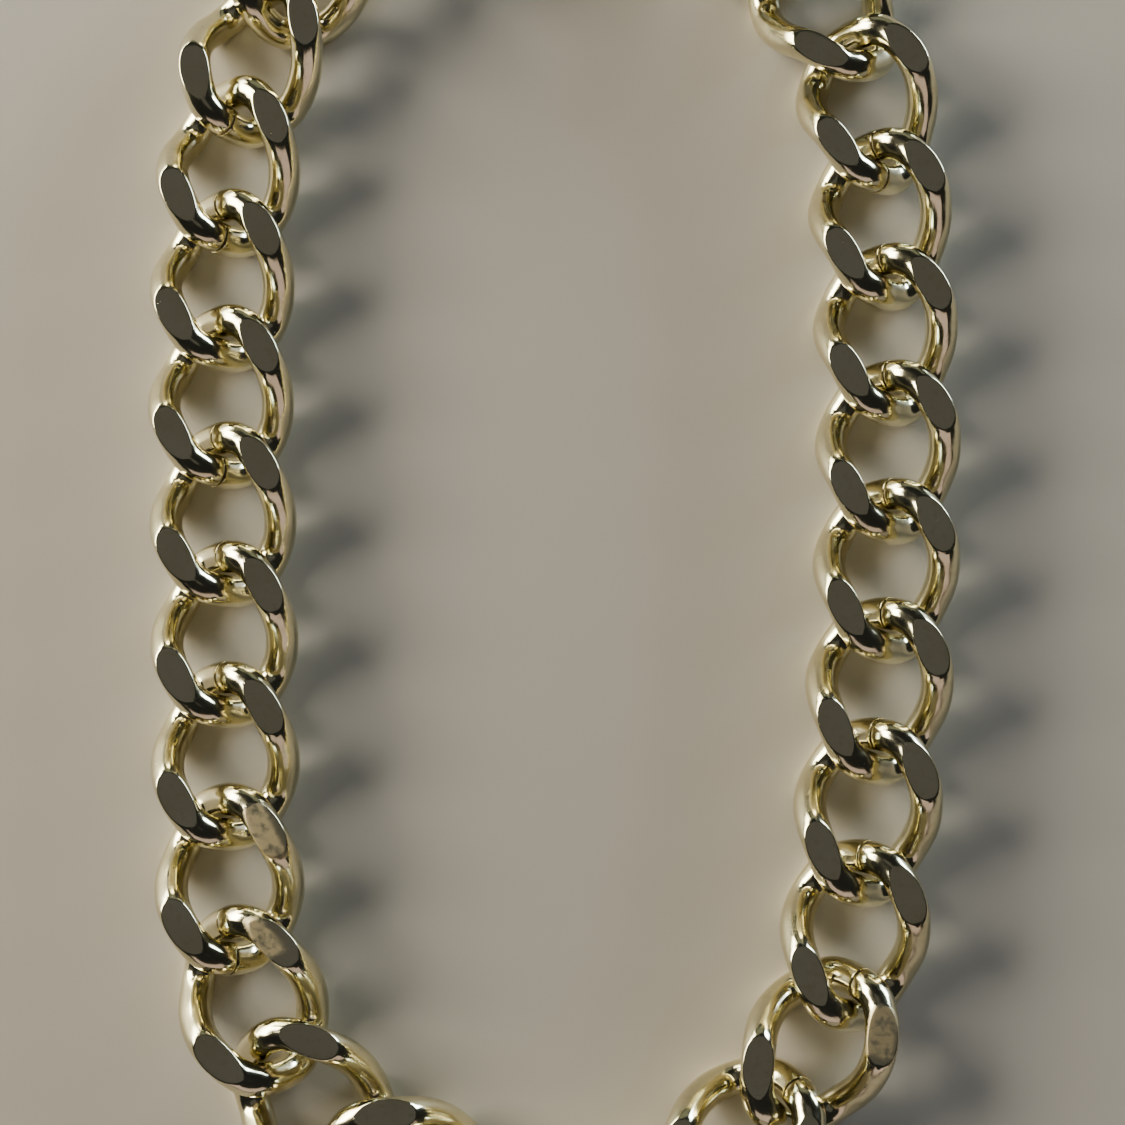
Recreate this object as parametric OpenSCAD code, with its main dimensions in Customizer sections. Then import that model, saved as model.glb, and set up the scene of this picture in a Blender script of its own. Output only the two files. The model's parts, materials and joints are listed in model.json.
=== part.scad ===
// Diamond-cut curb chain necklace with a lobster clasp, lying flat and unfastened.
// Millimetres. +Z is up, the chain rests on z = 0, the clasp end points to +Y.
// Each link is one round wire bent to an oval, twisted about its long axis and cut flat above and below.

/* [Link] */
// diameter of the link wire
wire_d = 4.2; // [3.8:0.1:4.2]
// outside length of a link along the chain
link_length = 24.1; // [24:0.1:25]
// outside width of a link across the chain
link_width = 18.8; // [18.4:0.2:19.2]
// turn between the two end bows of a link
link_twist = 88; // [84:2:92]
// height of the flat cuts above and below the middle plane
cut_height = 4.9; // [4.7:0.1:5]
// clearance where two bows hook together
play = 0.2; // [0.15:0.05:0.3]

/* [Rings] */
// centre-line radius of the jump ring that carries the clasp
jump_radius = 4.8; // [4.8:0.1:5.2]
// wire diameter of the jump ring
jump_wire_d = 1.8; // [1.6:0.1:1.8]
// centre-line radius of the catch ring at the other end
catch_radius = 5.2; // [5:0.1:5.6]
// wire diameter of the catch ring
catch_wire_d = 2; // [1.8:0.1:2.2]

/* [Clasp] */
// height of the clasp's middle plane
clasp_height = 3; // [2.8:0.1:3.2]
// half-width of the claw, to the middle of its wire
claw_radius = 5.2; // [5:0.1:5.6]
// thickness of the lever plate
lever_thick = 1.7; // [1.5:0.1:1.8]
// clearance between the lever and the cheeks of the claw
lever_play = 0.1; // [0.05:0.05:0.15]
// diameter of the lever's pivot pin
pin_d = 1.2; // [1:0.1:1.4]

/* [Hidden] */
plate_color = [0.72, 0.66, 0.46];
steel_color = [0.7, 0.7, 0.68];
eps = 0.01;

// Chain path: heading of each link in degrees, counter-clockwise from +Y, from the front of the neck to the ends.
// A drift is how far a link hangs to one side of the line that halves the turn, in degrees.
front_heading = 77;
left_headings = [67, 44, 19, 4, 2, 1, 3, 1, 0, -4, -18, -42, -52];
left_drifts = [-5, 1, 0, 0, 0, 0, 0, 0, 0, 0, 0, 0, 0];
right_headings = [-69, -45, -32, -7, -7, -6, -3, -1, 1, 2, 8, 34, 44];
right_drifts = [-3, 4, -2, 0, 0, 0, 0, 0, 0, 0, 0, 0, 0];
drift_give = 0.004;

// Link centre line.
wire_r = wire_d / 2;
half_width = (link_width - wire_d) / 2;
half_length = (link_length - wire_d) / 2;
squareness = 0.05;
link_rings = 36;
link_sides = 12;

function oval_x(t) = half_width * (cos(t) - squareness * cos(3 * t)) / (1 - squareness);
function oval_y(t) = half_length * (sin(t) + squareness * sin(3 * t)) / (1 - squareness);
function oval_turn(t) = link_twist / 2 * sin(90 * oval_y(t) / half_length);
// The wire climbs at the sides, stays high under the cuts and dips steeply across the bows.
bow_rise = 0.745 * half_width * sin(link_twist / 2);
function oval_z(t) = bow_rise * (sin(2 * t) + 0.21 * sin(4 * t) + 0.145 * sin(6 * t));
function link_point(t) = [oval_x(t) * cos(oval_turn(t)), oval_y(t), oval_z(t)];

function unit(v) = v / norm(v);
function direction(heading) = [-sin(heading), cos(heading), 0];

// Chain path rules: two bows stay one wire plus the play apart at any turn between the links.
function bow_gap(turn) = (wire_d + play) * sqrt(1 + pow(sin(turn / 2), 2));
function pitch(turn, drift) =
    2 * half_length * cos(turn / 2) - bow_gap(turn) - drift_give * drift * drift * (1 + abs(turn) / 40);
function step(from, to, drift) = pitch(to - from, drift) * direction((from + to) / 2 + drift);
function heading_at(start, headings, i) = i < 0 ? start : headings[i];
function centre_at(start, headings, drifts, i) =
    i < 0 ? [0, 0, 0] :
    centre_at(start, headings, drifts, i - 1)
    + step(heading_at(start, headings, i - 1), headings[i], drifts[i]);

// Wire tube round a list of points: closed loops for the links, capped ends for the claw.
function tangent_at(points, i, closed) =
    let (n = len(points))
    let (before = closed ? (i + n - 1) % n : max(i - 1, 0))
    let (after = closed ? (i + 1) % n : min(i + 1, n - 1))
    unit(points[after] - points[before]);
function tube_ring(point, tangent, radius, sides) =
    let (side = unit(cross(tangent, [0, 0, 1])))
    let (up = cross(side, tangent))
    [for (k = [0 : sides - 1]) point + radius * (cos(360 * k / sides) * side + sin(360 * k / sides) * up)];

module tube(points, radii, sides, closed) {
    n = len(points);
    spans = closed ? n : n - 1;
    rings = [for (i = [0 : n - 1]) tube_ring(points[i], tangent_at(points, i, closed), radii[i], sides)];
    vertices = [for (ring = rings) for (p = ring) p];
    lower = [
        for (i = [0 : spans - 1]) for (k = [0 : sides - 1])
            [i * sides + k, i * sides + (k + 1) % sides, (i + 1) % n * sides + (k + 1) % sides]
    ];
    upper = [
        for (i = [0 : spans - 1]) for (k = [0 : sides - 1])
            [i * sides + k, (i + 1) % n * sides + (k + 1) % sides, (i + 1) % n * sides + k]
    ];
    caps = closed ? [] : [
        [for (k = [0 : sides - 1]) sides - 1 - k],
        [for (k = [0 : sides - 1]) (n - 1) * sides + k]
    ];
    polyhedron(vertices, concat(lower, upper, caps));
}

module ring(radius, wire) {
    rotate_extrude($fn = 48)
        translate([radius, 0])
            circle(r = wire, $fn = 16);
}

module box(x, y, z) {
    translate([x[0], y[0], z[0]])
        cube([x[1] - x[0], y[1] - y[0], z[1] - z[0]]);
}

module link_solid() {
    intersection() {
        tube([for (i = [0 : link_rings - 1]) link_point(360 * i / link_rings)],
             [for (i = [0 : link_rings - 1]) wire_r], link_sides, true);
        box([-link_width, link_width], [-link_length, link_length], [-cut_height, cut_height]);
    }
}

module placed_link(centre, heading) {
    color(plate_color)
        translate(centre + [0, 0, cut_height])
            rotate([0, 0, heading])
                link_solid();
}

// The whole row is shifted so that its bounding box sits centred on the origin.
row_centre = [3.36, 97.177, 0];

module left_link(i) {
    placed_link(centre_at(front_heading, left_headings, left_drifts, i) - row_centre, left_headings[i]);
}

module right_link(i) {
    placed_link(
        centre_at(front_heading - 180, right_headings, right_drifts, i) - row_centre, right_headings[i]);
}

// Ends of the two arms: the middle of the last link's free bow.
left_end_heading = left_headings[12];
right_end_heading = right_headings[12];
left_end = centre_at(front_heading, left_headings, left_drifts, 12)
    + half_length * direction(left_end_heading) + [0, 0, cut_height] - row_centre;
right_end = centre_at(front_heading - 180, right_headings, right_drifts, 12)
    + half_length * direction(right_end_heading) + [0, 0, cut_height] - row_centre;

// Jump ring: hooked on the left end bow, sloping down to the eye of the clasp.
jump_wire_r = jump_wire_d / 2;
jump_heading = -44;
jump_slope = 25;
jump_roll = 30;
bow_play = 0.6;
eye_play = 0.6;
jump_reach = jump_radius - jump_wire_r - wire_r - bow_play;
jump_axis = direction(jump_heading) * cos(jump_slope) - [0, 0, sin(jump_slope)];
jump_centre = left_end + jump_reach * jump_axis;

// Catch ring: hooked on the right end bow and resting on the ground.
catch_wire_r = catch_wire_d / 2;
catch_heading = 40;
catch_slope = 28;
catch_roll = 20;
catch_reach = catch_radius - catch_wire_r - wire_r - bow_play;
catch_centre = right_end
    + catch_reach * (direction(catch_heading) * cos(catch_slope) - [0, 0, sin(catch_slope)]);

// Clasp frame: origin at the middle of the eye, +Y towards the tip of the claw.
eye_radius = 2.4;
eye_wire_r = 0.9;
clasp_heading = -28;
eye_reach = jump_radius - jump_wire_r - eye_wire_r - eye_play;
eye_contact = jump_centre + eye_reach * jump_axis;
clasp_origin = [eye_contact[0], eye_contact[1], clasp_height] + eye_radius * direction(clasp_heading);

post_r = 0.9;
post_end = 6;
head_r = 1.5;
head_thick = 0.8;
collar_r = 3;
collar_start = 3.5;
collar_end = 7.6;
post_play = 0.1;

claw_centre_y = 13.6;
claw_length_r = 6;
claw_base_r = 2.7;
claw_tip_r = 1.5;
claw_start = 318;
claw_end = 15;
claw_steps = 22;
claw_sides = 16;

function claw_point(angle) = [claw_radius * cos(angle), claw_centre_y + claw_length_r * sin(angle), 0];
function claw_offset(angle, out) =
    [(claw_radius + out) * cos(angle), claw_centre_y + (claw_length_r + out) * sin(angle)];
function claw_angle(i) = claw_start + (claw_end - claw_start) * i / claw_steps;
function claw_wire(i) = claw_base_r + (claw_tip_r - claw_base_r) * pow(i / claw_steps, 1.2);

pivot = claw_point(claw_start);
slot_half = lever_thick / 2 + lever_play;

lever_end = 15;
lever_half = 1.1;
lever_steps = 8;
lever_hub_r = 1.6;
lever_reach = 5.05;
tab_reach = [3.4, -0.4];
tab_r = 1.1;

spring_r = 0.6;
spring_wire_r = 0.16;
spring_turns = 4;
spring_steps = 36;
spring_x = [-0.5, 1.5];
spring_y = 8.9;

module on_clasp() {
    translate(clasp_origin)
        rotate([0, 0, clasp_heading])
            children();
}

module clasp_body_blank() {
    tube([for (i = [0 : claw_steps]) claw_point(claw_angle(i))],
         [for (i = [0 : claw_steps]) claw_wire(i)], claw_sides, false);
    translate([0, collar_start, 0])
        rotate([-90, 0, 0])
            cylinder(r = collar_r, h = collar_end - collar_start, $fn = 48);
}

module swivel_bore() {
    translate([0, collar_start - 1, 0])
        rotate([-90, 0, 0])
            cylinder(r = post_r + post_play, h = post_end - head_thick + 1 - collar_start, $fn = 32);
    translate([0, post_end - head_thick - post_play, 0])
        rotate([-90, 0, 0])
            cylinder(r = head_r + post_play, h = head_thick + 2 * post_play, $fn = 32);
}

module lever_outline() {
    angles = [for (i = [0 : lever_steps]) claw_start - 360 + (lever_end - claw_start + 360) * i / lever_steps];
    outer = [for (a = angles) claw_offset(a, lever_half)];
    inner = [for (a = angles) claw_offset(a, -lever_half)];
    intersection() {
        polygon(concat(outer, [for (i = [0 : lever_steps]) inner[lever_steps - i]]));
        translate([pivot[0], pivot[1]])
            circle(r = lever_reach, $fn = 64);
    }
    translate([pivot[0], pivot[1]])
        circle(r = lever_hub_r, $fn = 40);
    translate([pivot[0] + tab_reach[0], pivot[1] + tab_reach[1]])
        circle(r = tab_r, $fn = 32);
    translate([pivot[0], pivot[1] + tab_reach[1] - tab_r])
        square([tab_reach[0], 2 * tab_r]);
}

module front_link() {
    placed_link([0, 0, 0] - row_centre, front_heading);
}

module jump_ring() {
    color(plate_color)
        translate(jump_centre)
            rotate([0, 0, jump_heading])
                rotate([-jump_slope, 0, 0])
                    rotate([0, jump_roll, 0])
                        ring(jump_radius, jump_wire_r);
}

module catch_ring() {
    color(plate_color)
        translate(catch_centre)
            rotate([0, 0, catch_heading])
                rotate([-catch_slope, 0, 0])
                    rotate([0, catch_roll, 0])
                        ring(catch_radius, catch_wire_r);
}

module clasp_swivel() {
    color(plate_color)
        on_clasp()
            union() {
                rotate([0, jump_roll - 90, 0])
                    ring(eye_radius, eye_wire_r);
                translate([0, eye_radius, 0])
                    rotate([-90, 0, 0])
                        cylinder(r = post_r, h = post_end - eye_radius, $fn = 32);
                translate([0, post_end - head_thick, 0])
                    rotate([-90, 0, 0])
                        cylinder(r = head_r, h = head_thick, $fn = 32);
            }
}

module clasp_body() {
    color(plate_color)
        on_clasp()
            difference() {
                clasp_body_blank();
                swivel_bore();
                box([spring_x[0] - 0.3, 9], [7.9, claw_centre_y - 1], [-slot_half, slot_half]);
                translate([pivot[0], pivot[1], -claw_base_r - 1])
                    cylinder(d = pin_d, h = 2 * claw_base_r + 2, $fn = 32);
            }
}

module clasp_lever() {
    color(plate_color)
        on_clasp()
            difference() {
                translate([0, 0, -lever_thick / 2])
                    linear_extrude(lever_thick)
                        lever_outline();
                translate([pivot[0], pivot[1], -claw_base_r])
                    cylinder(d = pin_d + 0.1, h = 2 * claw_base_r, $fn = 32);
            }
}

module clasp_pin() {
    color(steel_color)
        on_clasp()
            translate([pivot[0], pivot[1], -claw_base_r + 0.2])
                cylinder(d = pin_d, h = 2 * claw_base_r - 0.4, $fn = 32);
}

module clasp_spring() {
    color(steel_color)
        on_clasp()
            translate([spring_x[0], spring_y, 0])
                rotate([0, 90, 0])
                    tube([
                        for (i = [0 : spring_steps])
                            [spring_r * cos(360 * spring_turns * i / spring_steps),
                             spring_r * sin(360 * spring_turns * i / spring_steps),
                             (spring_x[1] - spring_x[0]) * i / spring_steps]
                    ], [for (i = [0 : spring_steps]) spring_wire_r], 6, false);
}

module left_link_01() {
    left_link(0);
}

module left_link_02() {
    left_link(1);
}

module left_link_03() {
    left_link(2);
}

module left_link_04() {
    left_link(3);
}

module left_link_05() {
    left_link(4);
}

module left_link_06() {
    left_link(5);
}

module left_link_07() {
    left_link(6);
}

module left_link_08() {
    left_link(7);
}

module left_link_09() {
    left_link(8);
}

module left_link_10() {
    left_link(9);
}

module left_link_11() {
    left_link(10);
}

module left_link_12() {
    left_link(11);
}

module left_link_13() {
    left_link(12);
}

module right_link_01() {
    right_link(0);
}

module right_link_02() {
    right_link(1);
}

module right_link_03() {
    right_link(2);
}

module right_link_04() {
    right_link(3);
}

module right_link_05() {
    right_link(4);
}

module right_link_06() {
    right_link(5);
}

module right_link_07() {
    right_link(6);
}

module right_link_08() {
    right_link(7);
}

module right_link_09() {
    right_link(8);
}

module right_link_10() {
    right_link(9);
}

module right_link_11() {
    right_link(10);
}

module right_link_12() {
    right_link(11);
}

module right_link_13() {
    right_link(12);
}

front_link();
left_link_01();
left_link_02();
left_link_03();
left_link_04();
left_link_05();
left_link_06();
left_link_07();
left_link_08();
left_link_09();
left_link_10();
left_link_11();
left_link_12();
left_link_13();
right_link_01();
right_link_02();
right_link_03();
right_link_04();
right_link_05();
right_link_06();
right_link_07();
right_link_08();
right_link_09();
right_link_10();
right_link_11();
right_link_12();
right_link_13();
jump_ring();
clasp_swivel();
clasp_body();
clasp_lever();
clasp_pin();
clasp_spring();
catch_ring();
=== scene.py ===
"""Diamond-cut curb chain necklace with an open lobster clasp, lying flat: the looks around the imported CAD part."""
import json
import math

import bmesh
import bpy
import numpy as np
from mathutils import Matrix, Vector

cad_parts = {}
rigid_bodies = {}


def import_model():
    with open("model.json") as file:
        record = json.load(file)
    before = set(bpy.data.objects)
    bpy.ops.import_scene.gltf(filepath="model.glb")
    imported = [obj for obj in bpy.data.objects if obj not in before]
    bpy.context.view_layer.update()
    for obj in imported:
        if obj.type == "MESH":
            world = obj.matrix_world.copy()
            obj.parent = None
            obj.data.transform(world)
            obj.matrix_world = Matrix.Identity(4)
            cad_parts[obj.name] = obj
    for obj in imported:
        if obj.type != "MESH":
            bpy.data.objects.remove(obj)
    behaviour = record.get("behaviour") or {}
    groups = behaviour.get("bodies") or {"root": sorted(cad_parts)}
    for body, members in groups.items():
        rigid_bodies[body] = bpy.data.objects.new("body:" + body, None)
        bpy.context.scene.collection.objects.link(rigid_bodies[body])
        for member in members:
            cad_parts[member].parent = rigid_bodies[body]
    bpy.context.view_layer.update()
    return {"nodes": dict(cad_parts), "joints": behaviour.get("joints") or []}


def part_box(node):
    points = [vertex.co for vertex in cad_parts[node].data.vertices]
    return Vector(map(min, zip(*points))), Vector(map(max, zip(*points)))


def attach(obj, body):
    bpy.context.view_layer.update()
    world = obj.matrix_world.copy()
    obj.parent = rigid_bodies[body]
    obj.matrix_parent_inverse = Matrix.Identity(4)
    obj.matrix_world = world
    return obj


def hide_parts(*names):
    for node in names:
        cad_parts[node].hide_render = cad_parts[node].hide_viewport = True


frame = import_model()
MM = 0.001

# ------------------------------------------------------------------ the frame
# Sizes of a link, as in the CAD part, in millimetres.
WIRE_D = 4.2
LINK_LENGTH = 24.1
LINK_WIDTH = 18.8
HALF_TWIST = math.radians(44)
CUT_HEIGHT = 4.9
SQUARENESS = 0.05
WIRE_R = WIRE_D / 2
HALF_WIDTH = (LINK_WIDTH - WIRE_D) / 2
HALF_LENGTH = (LINK_LENGTH - WIRE_D) / 2
BOW_RISE = 0.745 * HALF_WIDTH * math.sin(HALF_TWIST)
SIDE_EASE = 0.2   # the climb at the sides is a little gentler than in the CAD part

joints = {j["name"]: j for j in frame["joints"]}


def node_centre(node):
    low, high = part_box(node)
    return np.array((low + high) / 2) / MM


def joint_place(name):
    return np.array(joints[name]["pos_m"]) / MM


# Each link hangs the next one on its free bow, so a joint's place gives the heading of the link before it.
arm_joints = {
    "left": ["left_fold_%02d" % i for i in range(1, 14)] + ["jump_ring_swing"],
    "right": ["right_fold_%02d" % i for i in range(1, 14)] + ["catch_ring_swing"],
}
links = {}
for side_name, names in arm_joints.items():
    for name in names:
        parent = joints[name]["parent"]
        if parent == "front_link" and side_name == "right":
            continue
        centre = node_centre(parent)
        away = joint_place(name) - centre
        links[parent] = (centre, math.atan2(-away[0], away[1]))


# ------------------------------------------------------------------ mesh helpers
def make_object(name, verts, faces, attributes, uvs):
    mesh = bpy.data.meshes.new(name)
    mesh.from_pydata([tuple(v * MM) for v in verts], [], faces)
    mesh.update()
    mesh.shade_smooth()
    for key, values in attributes.items():
        layer = mesh.attributes.new(key, "FLOAT", "POINT")
        layer.data.foreach_set("value", np.asarray(values, np.float32))
    layer = mesh.uv_layers.new(name="wire")
    index = np.zeros(len(mesh.loops), np.int32)
    mesh.loops.foreach_get("vertex_index", index)
    layer.data.foreach_set("uv", np.asarray(uvs, np.float32)[index].ravel())
    obj = bpy.data.objects.new(name, mesh)
    bpy.context.scene.collection.objects.link(obj)
    return obj


def unit(v):
    return v / np.linalg.norm(v, axis=-1, keepdims=True)


def turn_z(angle):
    c, s = math.cos(angle), math.sin(angle)
    return np.array([[c, -s, 0], [s, c, 0], [0, 0, 1]])


# ------------------------------------------------------------------ links
RINGS = 260
ARC = 17       # points on each round side of the section
FLAT = 7       # points across each flat
EDGE = 0.11    # width of the worn edge of a flat, mm


def link_line(t):
    """Centre line of a link at the parameter t, in its own frame: an oval that climbs at the sides, stays
    high under the cuts and dips steeply across the bows."""
    x = HALF_WIDTH * (np.cos(t) - SQUARENESS * np.cos(3 * t)) / (1 - SQUARENESS)
    y = HALF_LENGTH * (np.sin(t) + SQUARENESS * np.sin(3 * t)) / (1 - SQUARENESS)
    turn = HALF_TWIST * np.sin(np.pi / 2 * y / HALF_LENGTH)
    z = BOW_RISE * (np.sin(2 * t) + 0.21 * np.sin(4 * t) + 0.145 * np.sin(6 * t))
    z *= 1 - SIDE_EASE * np.exp(-(y / 2.3) ** 2)
    return np.stack([x * np.cos(turn), y, z], -1)


def link_section(line_z, up_z, radius):
    """The wire's section with the flats cut above and below: (x, y) points, and how far each is into a flat.
    The loops follow the edges of the flats, so the edges stay crisp."""
    reach = min((CUT_HEIGHT - line_z) / (radius * up_z), math.sin(math.pi / 2 - 0.12))
    floor = max(-(CUT_HEIGHT + line_z) / (radius * up_z), -math.sin(math.pi / 2 - 0.12))
    top, bottom = math.asin(reach), math.asin(floor)
    top_y = (CUT_HEIGHT - line_z) / up_z
    bottom_y = -(CUT_HEIGHT + line_z) / up_z
    points, flat = [], []

    def arc(start, end):
        edge = math.copysign(EDGE / radius, end - start)
        for a in np.linspace(start + edge, end - edge, ARC):
            points.append((radius * math.cos(a), radius * math.sin(a)))
            flat.append(0.0)

    def chord(start, cut_y, sign):
        half = abs(radius * math.cos(start))
        edge = min(EDGE, 0.3 * half)
        rim_x = half - 0.18 * edge
        xs = np.concatenate([[rim_x], np.linspace(half - edge, -(half - edge), FLAT), [-rim_x]])
        for i, x in enumerate(xs):
            y = math.sqrt(max(radius ** 2 - x * x, 0))
            y = min(y, sign * cut_y)
            rim = i in (0, len(xs) - 1)
            if rim and sign * cut_y < radius:
                y -= 0.16 * EDGE
            points.append((sign * x, sign * y))
            flat.append(0.5 if rim else 1.0)

    arc(bottom, top)
    chord(top, top_y, 1)
    arc(math.pi - top, math.pi - bottom)
    chord(-bottom, bottom_y, -1)
    return points, flat


def build_link(node, centre, heading, seam_deg, seed, step=0.05):
    """One link: a round wire with butted ends at the parameter seam_deg, cut flat above and below."""
    rng = np.random.default_rng(seed)
    gap = 0.16 / HALF_LENGTH / 1.1
    start = math.radians(seam_deg)
    # rings crowd together at the joint, for its rounded rims
    lead = np.array([0.0, 0.03, 0.09, 0.2, 0.4]) / HALF_LENGTH
    body = np.linspace(0.75 / HALF_LENGTH, 2 * math.pi - gap - 0.75 / HALF_LENGTH, RINGS)
    ts = start + gap / 2 + np.concatenate([lead, body, (2 * math.pi - gap) - lead[::-1]])
    shrink = np.ones(len(ts))
    shrink[[0, -1]] = 0.955
    shrink[[1, -2]] = 0.982
    shrink[[2, -3]] = 0.995
    line = link_line(ts)
    tangent = unit(link_line(ts + 1e-4) - link_line(ts - 1e-4))
    side = unit(np.cross(tangent, [0, 0, 1.0]))
    up = np.cross(side, tangent)
    # the two ends never meet quite true
    slip = rng.uniform(-1, 1, 2) * step
    fade_a = np.exp(-(ts - ts[0]) * HALF_LENGTH / 1.6)
    fade_b = np.exp(-(ts[-1] - ts) * HALF_LENGTH / 1.6)
    verts, flats, uv, along, near = [], [], [], 0.0, []
    for i, t in enumerate(ts):
        if i:
            along += float(np.linalg.norm(line[i] - line[i - 1]))
        shift = (fade_a[i] - fade_b[i]) * (slip[0] * side[i] + slip[1] * up[i])
        points, flat = link_section(line[i][2], up[i][2], WIRE_R * shrink[i])
        n = len(points)
        for k, (x, y) in enumerate(points):
            verts.append(line[i] + shift + x * side[i] + y * up[i])
            uv.append((along, 13.2 * k / n))
        flats += flat
        near += [max(fade_a[i], fade_b[i]) ** 3] * n
    verts = np.array(verts)
    rings = len(ts)
    faces = []
    for i in range(rings - 1):
        for k in range(n):
            a, b = i * n + k, i * n + (k + 1) % n
            faces.append((a, b, b + n, a + n))
    first, last = len(verts), len(verts) + 1
    verts = np.concatenate([verts, [verts[:n].mean(0), verts[(rings - 1) * n:].mean(0)]])
    flats += [0, 0]
    near += [1, 1]
    uv += [(0, 0), (0, 0)]
    for k in range(n):
        faces.append((first, (k + 1) % n, k))
        faces.append((last, (rings - 1) * n + k, (rings - 1) * n + (k + 1) % n))
    verts[:, 2] = np.clip(verts[:, 2], -CUT_HEIGHT, CUT_HEIGHT)
    local = verts.copy()
    verts = verts @ turn_z(heading).T + centre
    uvs = np.array(uv)
    uvs[:, 0] += rng.uniform(0, 900)
    obj = make_object(node + ".cut", verts, faces,
                      {"flat": flats, "near_joint": near,
                       "patch": patch_mask(node, local)}, uvs)
    sharp_rims(obj)
    return obj


def sharp_rims(obj):
    """Weights the normals by face area, so that the flats look flat right up to their edges."""
    mod = obj.modifiers.new("normals", "WEIGHTED_NORMAL")
    mod.weight = 100
    mod.keep_sharp = True
    bpy.context.view_layer.objects.active = obj
    with bpy.context.temp_override(object=obj, active_object=obj):
        bpy.ops.object.modifier_apply(modifier=mod.name)


# The upper flat between the side and the free bow runs from FLAT_TOP along FLAT_RUN, in the link's own
# frame, in millimetres.
FLAT_TOP = np.array([3.5, 9.6])
FLAT_RUN = np.array([0.389, -0.921])
# Worn patches on that flat: from and to along it, how far across it they reach, and how strong they are.
PATCHES = {
    "left_link_04": (0.9, 9.0, 1.7, 1.0),
    "left_link_03": (-0.5, 6.4, 1.2, 1.0),
    "right_link_03": (0.7, 7.6, 2.4, 1.0),
    "right_link_02": (2.0, 5.0, 0.9, 0.4),
}


def patch_mask(node, local):
    """How worn each point of a link is: a patch with a sharp curved edge at its upper end."""
    if node not in PATCHES:
        return np.zeros(len(local))
    start, end, reach, amount = PATCHES[node]
    d = local[:, :2] - FLAT_TOP
    along = d @ FLAT_RUN
    across = d @ np.array([-FLAT_RUN[1], FLAT_RUN[0]])
    from_start = np.clip((along - start - 0.13 * across ** 2) / 0.12 + 0.5, 0, 1)
    to_end = np.clip((end - along + 0.2 * across) / 0.9, 0, 1)
    inside = np.clip((reach - across) / 0.5, 0, 1)
    return amount * from_start * to_end * inside * (local[:, 2] > CUT_HEIGHT - 0.3)


# The wire ends meet on one of the two bows, a little off its middle, at an angle in degrees round the oval.
NEAR_CLASP, NEAR_FRONT = 84, 264
JOINED_NEAR_FRONT = ("left_link_01", "left_link_02", "left_link_04", "left_link_08", "left_link_10",
                     "left_link_11", "right_link_11")


def seam_angle(node):
    return NEAR_FRONT if node in JOINED_NEAR_FRONT else NEAR_CLASP


pieces = {}
for index, (node, (centre, heading)) in enumerate(sorted(links.items())):
    pieces[node] = build_link(node, centre, heading, seam_angle(node), 100 + index)


# ------------------------------------------------------------------ rings and clasp
def tube_parts(line, radii, sides, closed=False, axis=(0, 0, 1.0)):
    """Rings of points round a centre line that never runs along axis; an open tube gets flat ends."""
    line, radii = np.asarray(line, float), np.asarray(radii, float)
    n = len(line)
    tangent = unit(np.roll(line, -1, 0) - np.roll(line, 1, 0)) if closed else unit(np.gradient(line, axis=0))
    side = unit(np.cross(tangent, axis))
    up = np.cross(side, tangent)
    angle = 2 * math.pi * np.arange(sides) / sides
    verts = (line[:, None] + radii[:, None, None] * (np.cos(angle)[None, :, None] * side[:, None]
                                                     + np.sin(angle)[None, :, None] * up[:, None])).reshape(-1, 3)
    faces = []
    for i in range(n if closed else n - 1):
        j = (i + 1) % n
        for k in range(sides):
            m = (k + 1) % sides
            faces.append((i * sides + k, i * sides + m, j * sides + m, j * sides + k))
    if not closed:
        faces.append(tuple(range(sides))[::-1])
        faces.append(tuple((n - 1) * sides + k for k in range(sides)))
    return verts, faces


def lathe(profile, sides=64):
    """A solid turned about +Y from (radius, y) points."""
    angle = 2 * math.pi * np.arange(sides) / sides
    verts = np.array([(r * math.sin(a), y, r * math.cos(a)) for r, y in profile for a in angle])
    faces = []
    for i in range(len(profile) - 1):
        for k in range(sides):
            m = (k + 1) % sides
            faces.append((i * sides + k, i * sides + m, (i + 1) * sides + m, (i + 1) * sides + k))
    faces.append(tuple(range(sides))[::-1])
    faces.append(tuple((len(profile) - 1) * sides + k for k in range(sides)))
    return verts, faces


def plate(outline, low, high):
    """A flat plate from its outline in X and Y."""
    n = len(outline)
    verts = np.array([(x, y, z) for z in (low, high) for x, y in outline])
    faces = [tuple(range(n))[::-1], tuple(range(n, 2 * n))]
    faces += [(k, (k + 1) % n, n + (k + 1) % n, n + k) for k in range(n)]
    return verts, faces


def brick(x, y, z):
    return plate([(x[0], y[0]), (x[1], y[0]), (x[1], y[1]), (x[0], y[1])], *z)


def scratch(verts, faces):
    """A working solid, in millimetres, with its faces turned outwards."""
    mesh = bpy.data.meshes.new("work")
    mesh.from_pydata([tuple(v) for v in verts], [], faces)
    bm = bmesh.new()
    bm.from_mesh(mesh)
    bmesh.ops.recalc_face_normals(bm, faces=bm.faces)
    bm.to_mesh(mesh)
    bm.free()
    obj = bpy.data.objects.new("work", mesh)
    bpy.context.scene.collection.objects.link(obj)
    return obj


def settle(obj):
    """Bakes an object's modifiers into its mesh."""
    bpy.context.view_layer.update()
    baked = bpy.data.meshes.new_from_object(obj.evaluated_get(bpy.context.evaluated_depsgraph_get()))
    obj.modifiers.clear()
    old, obj.data = obj.data, baked
    bpy.data.meshes.remove(old)
    return obj


def combine(obj, parts, operation):
    for verts, faces in parts:
        other = scratch(verts, faces)
        mod = obj.modifiers.new("combine", "BOOLEAN")
        mod.operation = operation
        mod.solver = "EXACT"
        mod.object = other
        settle(obj)
        bpy.data.objects.remove(other)
    return obj


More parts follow.
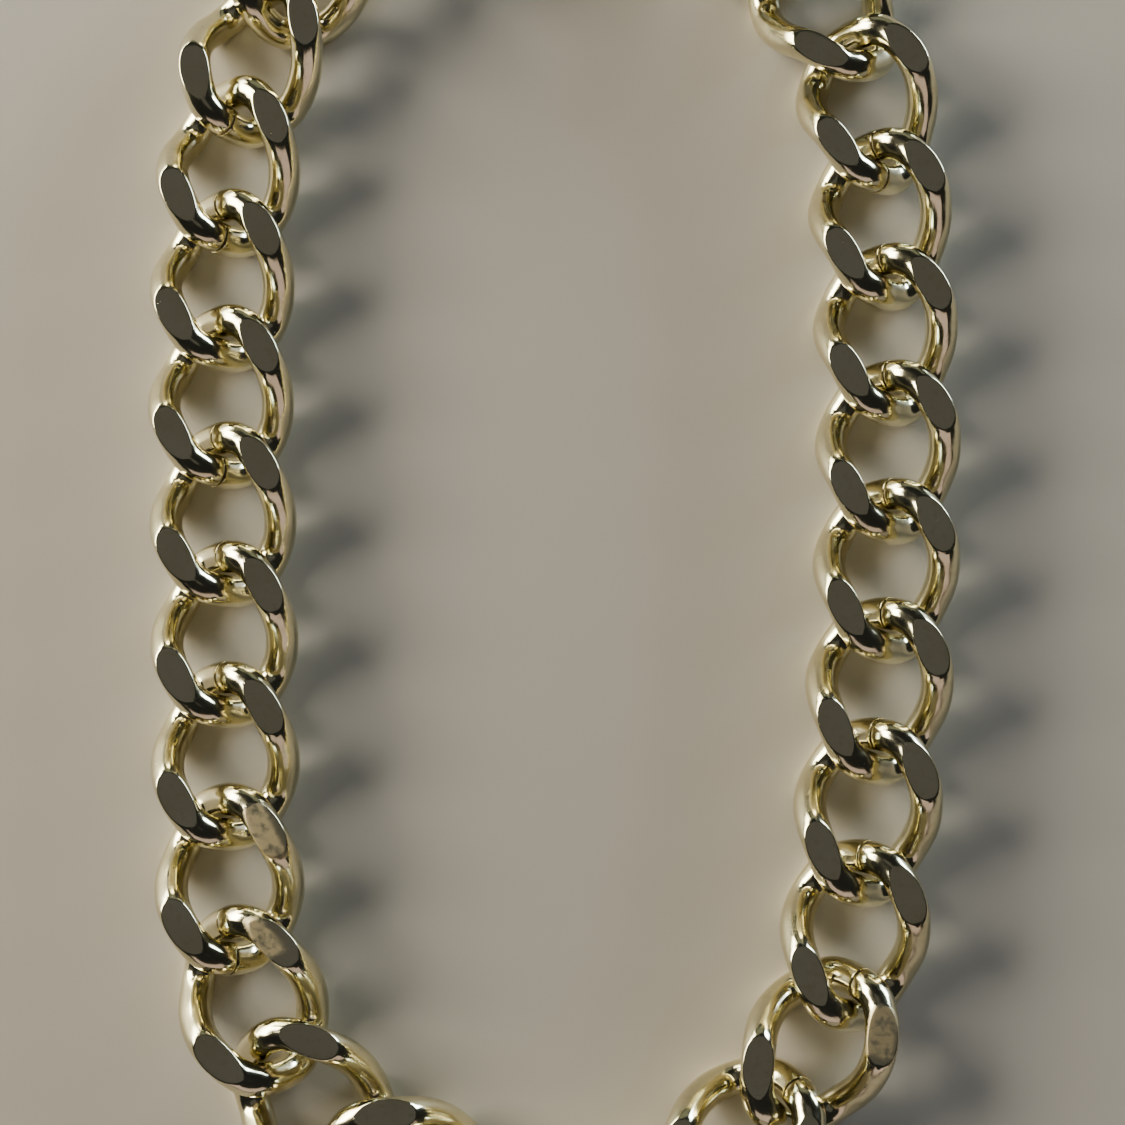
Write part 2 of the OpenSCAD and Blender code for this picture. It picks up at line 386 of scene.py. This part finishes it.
def cast(name, base, joined, cut, grain, passes):
    """A cast and tumbled solid: joined and cut shapes, then every edge softened."""
    obj = combine(combine(scratch(*base), joined, "UNION"), cut, "DIFFERENCE")
    mod = obj.modifiers.new("skin", "REMESH")
    mod.mode = "VOXEL"
    mod.voxel_size = grain
    mod.use_smooth_shade = True
    mod = obj.modifiers.new("tumble", "SMOOTH")
    mod.factor = 0.5
    mod.iterations = passes
    settle(obj)
    obj.name = name
    return obj


def place(obj, turn, origin):
    """Puts a working solid in the scene: turned, moved, in metres."""
    mesh = obj.data
    points = np.zeros(len(mesh.vertices) * 3, np.float32)
    mesh.vertices.foreach_get("co", points)
    points = (points.reshape(-1, 3) @ turn.T + origin) * MM
    mesh.vertices.foreach_set("co", points.astype(np.float32).ravel())
    mesh.update()
    return obj


def ring_frame(name):
    """Centre and axes of a ring from its CAD points: the last axis is square to the ring."""
    cad = frame["nodes"][name]
    points = np.array([cad.matrix_world @ v.co for v in cad.data.vertices]) / MM
    centre = points.mean(0)
    axes = np.linalg.svd(points - centre, full_matrices=False)[2]
    if np.linalg.det(axes) < 0:
        axes[2] *= -1
    return centre, axes.T


def split_ring(name, radius, wire_r, opening):
    """A wire ring whose butted ends meet at the angle opening."""
    centre, axes = ring_frame(name)
    gap = 0.09 / radius
    crowd = np.array([0.0, 0.02, 0.05, 0.1, 0.2]) / radius
    span = 2 * math.pi - gap
    turns = np.concatenate([crowd, np.linspace(0.35 / radius, span - 0.35 / radius, 180), span - crowd[::-1]])
    shrink = np.ones(len(turns))
    shrink[[0, -1]], shrink[[1, -2]], shrink[[2, -3]] = 0.9, 0.955, 0.985
    angles = opening + gap / 2 + turns
    line = np.stack([radius * np.cos(angles), radius * np.sin(angles), 0 * angles], -1)
    line[:, 2] += 0.03 * (np.exp(-turns * radius / 0.8) - np.exp(-(span - turns) * radius / 0.8))
    verts, faces = tube_parts(line, 0.995 * wire_r * shrink, 40)
    obj = place(scratch(verts, faces), axes, centre)
    obj.data.shade_smooth()
    obj.name = name + ".wire"
    return obj


# Sizes of the rings and the clasp, as in the CAD part, in millimetres and in the clasp's own frame.
JUMP_R, JUMP_WIRE_R = 4.8, 0.9
CATCH_R, CATCH_WIRE_R = 5.2, 1.0
EYE_R, EYE_WIRE_R, EYE_TURN = 2.4, 0.82, math.radians(-60)   # the wire a little slimmer, to clear link 13
POST_R, POST_END, HEAD_R, HEAD_THICK = 0.9, 6.0, 1.5, 0.8
COLLAR_R, COLLAR_START, COLLAR_END = 3.0, 3.5, 7.6
CLAW_R, CLAW_LENGTH_R, CLAW_Y = 5.2, 6.0, 13.6
CLAW_BASE_R, CLAW_TIP_R, CLAW_START, CLAW_END = 2.7, 1.5, math.radians(318), math.radians(15)
LEVER_THICK, LEVER_PLAY, PIN_R = 1.7, 0.1, 0.6
LEVER_END, LEVER_HALF, LEVER_REACH, HUB_R = math.radians(15), 1.1, 5.05, 1.6
TAB_X, TAB_Y, TAB_R = 3.4, -0.4, 1.1
SPRING_R, SPRING_WIRE_R, SPRING_Y, SPRING_X = 0.6, 0.16, 8.9, (-0.5, 1.5)
PIVOT = np.array([CLAW_R * math.cos(CLAW_START), CLAW_Y + CLAW_LENGTH_R * math.sin(CLAW_START)])

spin_axis = np.array(joints["clasp_swivel_spin"]["axis"])
clasp_heading = math.atan2(-spin_axis[0], spin_axis[1])
clasp_turn = turn_z(clasp_heading)
clasp_origin = joint_place("clasp_swivel_spin") - 4.5 * unit(spin_axis)


def turned(radius, start, end, bevel):
    """(radius, y) points of a turned disc or rod with rounded rims."""
    a = np.radians(np.linspace(0, 90, 7))
    first = [(radius - bevel + bevel * math.sin(t), start + bevel - bevel * math.cos(t)) for t in a]
    last = [(radius - bevel + bevel * math.cos(t), end - bevel + bevel * math.sin(t)) for t in a]
    return first + last


def claw_body():
    k = np.linspace(0, 1, 64)
    angle = CLAW_START + (CLAW_END - CLAW_START) * k
    line = np.stack([CLAW_R * np.cos(angle), CLAW_Y + CLAW_LENGTH_R * np.sin(angle), 0 * angle], -1)
    radii = CLAW_BASE_R + (CLAW_TIP_R - CLAW_BASE_R) * k ** 1.2
    collar = turned(COLLAR_R, COLLAR_START, COLLAR_END, 0.5)
    half = LEVER_THICK / 2 + LEVER_PLAY
    bores = [lathe([(POST_R + 0.1, COLLAR_START - 1), (POST_R + 0.1, POST_END - HEAD_THICK)]),
             lathe([(HEAD_R + 0.1, POST_END - HEAD_THICK - 0.1), (HEAD_R + 0.1, POST_END + 0.1)]),
             brick((SPRING_X[0] - 0.3, 9), (7.9, CLAW_Y - 1), (-half, half))]
    return cast("clasp_body.cast", tube_parts(line, radii, 48), [lathe(collar)], bores, 0.092, 5)


def lever_outline():
    """Outline of the lever's curved finger; the hub on the pin and the thumb tab are joined on in clasp_lever."""
    angle = np.linspace(CLAW_START - 2 * math.pi, LEVER_END, 40)

    def offset(a, out):
        return np.array([(CLAW_R + out) * math.cos(a), CLAW_Y + (CLAW_LENGTH_R + out) * math.sin(a)])

    outer = [offset(a, LEVER_HALF) for a in angle]
    inner = [offset(a, -LEVER_HALF) for a in angle]
    outer = [p for p in outer if np.linalg.norm(p - PIVOT) < LEVER_REACH]
    inner = [p for p in inner if np.linalg.norm(p - PIVOT) < LEVER_REACH]
    return outer + inner[::-1]


def disc(centre, radius, low, high, sides=64):
    angle = 2 * math.pi * np.arange(sides) / sides
    outline = [(centre[0] + radius * math.cos(a), centre[1] + radius * math.sin(a)) for a in angle]
    return plate(outline, low, high)


def clasp_lever():
    low, high = -LEVER_THICK / 2, LEVER_THICK / 2
    tab = PIVOT + np.array([TAB_X, TAB_Y])
    joined = [disc(PIVOT, HUB_R, low, high), disc(tab, TAB_R, low, high),
              brick((PIVOT[0], tab[0]), (tab[1] - TAB_R, tab[1] + TAB_R), (low, high))]
    # three grip grooves across the thumb tab
    cut = [disc(PIVOT, PIN_R + 0.05, -3, 3)]
    for i in range(3):
        start = tab[0] - 0.9 + 0.55 * i
        edge = tab[1] - TAB_R
        cut.append(brick((start, start + 0.18), (edge - 0.1, edge + 0.16), (-3, 3)))
    return cast("clasp_lever.cast", plate(lever_outline(), low, high), joined, cut, 0.06, 3)


def swivel_eye():
    angle = np.linspace(0, 2 * math.pi, 120, endpoint=False)
    c, s = math.cos(EYE_TURN), math.sin(EYE_TURN)
    line = np.stack([EYE_R * np.cos(angle) * c, EYE_R * np.sin(angle), -EYE_R * np.cos(angle) * s], -1)
    post = lathe(turned(POST_R, EYE_R - 0.2, POST_END - 0.1, 0.05))
    head = lathe(turned(HEAD_R, POST_END - HEAD_THICK, POST_END, 0.15))
    eye = tube_parts(line, np.full(120, EYE_WIRE_R), 36, closed=True)
    return cast("clasp_swivel.cast", eye, [post, head], [], 0.075, 4)


def lever_pin():
    """The pivot pin, its ends peened to low domes."""
    half = CLAW_BASE_R - 0.2
    a = np.radians(np.linspace(0, 90, 6))
    profile = [(PIN_R * math.sin(t), -half + 0.25 * (1 - math.cos(t))) for t in a[1:]]
    profile = [(0.04, -half)] + profile + [(r, -y) for r, y in profile[::-1]] + [(0.04, half)]
    verts, faces = lathe(profile, 48)
    verts = np.stack([verts[:, 0] + PIVOT[0], verts[:, 2] + PIVOT[1], verts[:, 1]], -1)
    obj = scratch(verts, faces)
    obj.name = "clasp_pin.peened"
    return obj


def lever_spring():
    """The small coil spring, its end turns laid close."""
    k = np.linspace(0, 1, 240)
    turn = 2 * math.pi * 4 * k
    rise = np.clip((k - 0.06) / 0.88, 0, 1)
    length = SPRING_X[1] - SPRING_X[0]
    line = np.stack([SPRING_X[0] + length * (0.02 + 0.96 * rise), SPRING_Y + SPRING_R * np.sin(turn),
                     -SPRING_R * np.cos(turn)], -1)
    obj = scratch(*tube_parts(line, np.full(240, SPRING_WIRE_R * 0.98), 16, axis=(1.0, 0, 0)))
    obj.name = "clasp_spring.coil"
    return obj


fittings = {
    "jump_ring": split_ring("jump_ring", JUMP_R, JUMP_WIRE_R, 1.9),
    "catch_ring": split_ring("catch_ring", CATCH_R, CATCH_WIRE_R, 2.4),
}
for name, build in (("clasp_body", claw_body), ("clasp_lever", clasp_lever), ("clasp_swivel", swivel_eye),
                    ("clasp_pin", lever_pin), ("clasp_spring", lever_spring)):
    fittings[name] = place(build(), clasp_turn, clasp_origin)
    fittings[name].data.shade_smooth()
pieces.update(fittings)


# ------------------------------------------------------------------ materials
def new_material(name):
    mat = bpy.data.materials.new(name)
    mat.use_nodes = True
    tree = mat.node_tree
    tree.nodes.clear()
    out = tree.nodes.new("ShaderNodeOutputMaterial")
    bsdf = tree.nodes.new("ShaderNodeBsdfPrincipled")
    tree.links.new(bsdf.outputs[0], out.inputs[0])
    return mat, tree, bsdf


def node(tree, kind, inputs=None, **settings):
    n = tree.nodes.new(kind)
    for key, value in settings.items():
        setattr(n, key, value)
    for key, value in (inputs or {}).items():
        socket = n.inputs[key]
        if isinstance(value, bpy.types.NodeSocket):
            tree.links.new(value, socket)
        else:
            socket.default_value = value
    return n


def ramp(tree, value, *stops):
    r = node(tree, "ShaderNodeValToRGB", {"Fac": value})
    elements = r.color_ramp.elements
    while len(elements) < len(stops):
        elements.new(0.5)
    for e, (place, colour) in zip(elements, stops):
        e.position = place
        e.color = (*colour, 1) if isinstance(colour, tuple) else (colour, colour, colour, 1)
    return r.outputs["Color"]


def math_node(tree, operation, a, b=None, clamp=False):
    n = tree.nodes.new("ShaderNodeMath")
    n.operation = operation
    n.use_clamp = clamp
    for socket, value in zip(n.inputs, (a, b)):
        if value is None:
            continue
        if isinstance(value, bpy.types.NodeSocket):
            tree.links.new(value, socket)
        else:
            socket.default_value = value
    return n.outputs[0]


def mix_colour(tree, factor, a, b, blend="MIX"):
    n = tree.nodes.new("ShaderNodeMix")
    n.data_type = "RGBA"
    n.blend_type = blend
    for key, value in ((0, factor), (6, a), (7, b)):
        if isinstance(value, bpy.types.NodeSocket):
            tree.links.new(value, n.inputs[key])
        elif isinstance(value, tuple):
            n.inputs[key].default_value = (*value, 1)
        else:
            n.inputs[key].default_value = value
    return n.outputs[2]


def plated_gold():
    """Pale gold plate: polished wire with faint drawing lines and dents, cut flats with pits, dull worn patches."""
    mat, tree, bsdf = new_material("pale_gold_plate")
    coords = node(tree, "ShaderNodeTexCoord")
    place = coords.outputs["Object"]
    uv = coords.outputs["UV"]
    flat = node(tree, "ShaderNodeAttribute", attribute_name="flat").outputs["Fac"]
    patch = node(tree, "ShaderNodeAttribute", attribute_name="patch").outputs["Fac"]
    near = node(tree, "ShaderNodeAttribute", attribute_name="near_joint").outputs["Fac"]

    def noise(scale, detail=3.0, rough=0.5, vector=place):
        inputs = {"Vector": vector, "Scale": scale, "Detail": detail, "Roughness": rough}
        return node(tree, "ShaderNodeTexNoise", inputs).outputs["Fac"]

    broad = noise(160.0, 2.0)
    cloud = noise(900.0, 4.0, 0.6)
    grain = noise(5200.0, 3.0, 0.6)
    lines_uv = node(tree, "ShaderNodeMapping", {"Vector": uv, "Scale": (0.25, 7.0, 1.0)}).outputs[0]
    drawn = noise(1.0, 4.0, 0.65, lines_uv)
    cells = node(tree, "ShaderNodeTexVoronoi", {"Vector": place, "Scale": 780.0, "Randomness": 1.0})
    pit = ramp(tree, cells.outputs["Distance"], (0.03, 1.0), (0.085, 0.0))
    rare = ramp(tree, noise(420.0, 1.0), (0.56, 0.0), (0.62, 1.0))
    pit = math_node(tree, "MULTIPLY", pit, rare)

    tint = ramp(tree, broad, (0.35, 0.0), (0.7, 1.0))
    clean = mix_colour(tree, tint, (0.87, 0.82, 0.61), (0.82, 0.76, 0.54))
    clean = mix_colour(tree, ramp(tree, cloud, (0.52, 0.0), (0.8, 0.5)), clean, (0.66, 0.59, 0.36))
    worn = mix_colour(tree, cloud, (0.94, 0.82, 0.56), (0.66, 0.54, 0.34))
    patchy = ramp(tree, cloud, (0.3, 0.35), (0.55, 1.0))
    patch_mask_value = math_node(tree, "MULTIPLY", patch, patchy)
    colour = mix_colour(tree, patch_mask_value, clean, worn)
    colour = mix_colour(tree, math_node(tree, "MULTIPLY", near, 0.35), colour, (0.30, 0.23, 0.10))
    colour = mix_colour(tree, math_node(tree, "MULTIPLY", pit, 0.6), colour, (0.9, 0.84, 0.62))
    tree.links.new(colour, bsdf.inputs["Base Color"])

    rough = ramp(tree, cloud, (0.3, 0.10), (0.75, 0.22))
    rough = mix_colour(tree, flat, rough, ramp(tree, cloud, (0.3, 0.13), (0.75, 0.2)))
    rough = mix_colour(tree, patch_mask_value, rough, (0.56, 0.56, 0.56))
    rough = mix_colour(tree, math_node(tree, "MULTIPLY", pit, 0.8), rough, (0.5, 0.5, 0.5))
    tree.links.new(rough, bsdf.inputs["Roughness"])
    bsdf.inputs["Metallic"].default_value = 1.0

    round_share = math_node(tree, "SUBTRACT", 1.0, flat, clamp=True)
    height = math_node(tree, "MULTIPLY", drawn, math_node(tree, "MULTIPLY", round_share, 0.0035))
    dents = math_node(tree, "MULTIPLY", cloud, math_node(tree, "MULTIPLY", round_share, 0.012))
    height = math_node(tree, "ADD", height, dents)
    height = math_node(tree, "ADD", height, math_node(tree, "MULTIPLY", grain, 0.0006))
    height = math_node(tree, "ADD", height, math_node(tree, "MULTIPLY", pit, -0.02))
    burr = math_node(tree, "MULTIPLY", near, noise(1500.0, 3.0, 0.6))
    height = math_node(tree, "ADD", height, math_node(tree, "MULTIPLY", burr, 0.008))
    bump = node(tree, "ShaderNodeBump", {"Height": height, "Distance": 0.001, "Strength": 1.0})
    tree.links.new(bump.outputs[0], bsdf.inputs["Normal"])
    return mat


gold = plated_gold()


def drawn_steel():
    mat, tree, bsdf = new_material("drawn_steel")
    place = node(tree, "ShaderNodeTexCoord").outputs["Object"]
    fine = node(tree, "ShaderNodeTexNoise", {"Vector": place, "Scale": 2500.0, "Detail": 3.0}).outputs["Fac"]
    tree.links.new(mix_colour(tree, fine, (0.62, 0.62, 0.6), (0.42, 0.42, 0.4)), bsdf.inputs["Base Color"])
    tree.links.new(ramp(tree, fine, (0.3, 0.2), (0.8, 0.38)), bsdf.inputs["Roughness"])
    bsdf.inputs["Metallic"].default_value = 1.0
    bump = node(tree, "ShaderNodeBump", {"Height": fine, "Distance": 0.00001, "Strength": 0.4})
    tree.links.new(bump.outputs[0], bsdf.inputs["Normal"])
    return mat


steel = drawn_steel()
STEEL = ("clasp_pin", "clasp_spring")

for name, obj in pieces.items():
    obj.data.materials.clear()
    obj.data.materials.append(steel if name in STEEL else gold)
    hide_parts(name)
    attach(obj, "clasp_body" if name in STEEL else name)

# ------------------------------------------------------------------ floor, lights, camera
front = node_centre("front_link")
look_at = np.array([front[0] + 4.53, front[1] + 82.23, 4.7]) * MM
CAMERA_REACH = 0.300
VIEW_HALF_WIDTH = 0.0723
CAMERA_TILT = math.radians(8)

floor_mesh = bpy.data.meshes.new("floor")
FLOOR_HALF = 3.0
corners = [(x * FLOOR_HALF, y * FLOOR_HALF, 0) for x, y in ((-1, -1), (1, -1), (1, 1), (-1, 1))]
floor_mesh.from_pydata(corners, [], [(0, 1, 2, 3)])
floor = bpy.data.objects.new("floor", floor_mesh)
bpy.context.scene.collection.objects.link(floor)
floor.location.z = -0.00002
floor_mat, floor_tree, floor_bsdf = new_material("pale_floor")
floor_bsdf.inputs["Base Color"].default_value = (0.70, 0.65, 0.58, 1)
floor_bsdf.inputs["Roughness"].default_value = 0.5
floor_mesh.materials.append(floor_mat)


def soft_box(name, azimuth, elevation, distance, width, height, power, colour):
    """An area light at a compass angle (0 is +X, 90 is +Y) and elevation, aimed at the chain."""
    data = bpy.data.lights.new(name, "AREA")
    data.shape = "RECTANGLE"
    data.size, data.size_y = width, height
    data.energy = power
    data.color = colour
    obj = bpy.data.objects.new(name, data)
    bpy.context.scene.collection.objects.link(obj)
    a, e = math.radians(azimuth), math.radians(elevation)
    place = Vector((math.cos(a) * math.cos(e), math.sin(a) * math.cos(e), math.sin(e))) * distance
    obj.location = place + Vector((0, 0, 0.004))
    obj.rotation_euler = (-place).to_track_quat("-Z", "Y").to_euler()
    return obj


def panel(name, azimuth, elevation, width, height, brightness, colour, distance=1.2):
    """A soft box given by how bright its face is, so that its reflection keeps one tone at any size."""
    soft_box(name, azimuth, elevation, distance, width, height, brightness * math.pi * width * height, colour)


panel("window_left", 157, 27, 0.85, 0.42, 11.0, (1.0, 0.95, 0.82))
panel("glow_left", 148, 9, 1.4, 0.34, 7.0, (1.0, 0.98, 0.78))
panel("window_right", 42, 10, 0.50, 0.40, 14.0, (0.72, 0.87, 1.0))
panel("fill_front", 278, 15, 1.5, 0.5, 0.5, (1.0, 0.80, 0.76))
panel("fill_back", 90, 14, 0.8, 0.4, 0.2, (0.94, 1.0, 0.78))
panel("overhead", 90, 84, 1.1, 1.1, 0.075, (1.0, 0.98, 0.98))

world = bpy.data.worlds.new("studio")
bpy.context.scene.world = world
world.use_nodes = True
world.node_tree.nodes["Background"].inputs[0].default_value = (0.95, 1.0, 1.0, 1)
world.node_tree.nodes["Background"].inputs[1].default_value = 0.025

camera_data = bpy.data.cameras.new("camera")
camera_data.angle = 2 * math.atan(VIEW_HALF_WIDTH / CAMERA_REACH)
camera_data.clip_start = 0.01
camera = bpy.data.objects.new("camera", camera_data)
bpy.context.scene.collection.objects.link(camera)
camera.location = look_at + CAMERA_REACH * np.array([0, -math.sin(CAMERA_TILT), math.cos(CAMERA_TILT)])
camera.rotation_euler = (CAMERA_TILT, 0, 0)
bpy.context.scene.camera = camera
bpy.context.scene.view_settings.look = "AgX - Medium High Contrast"
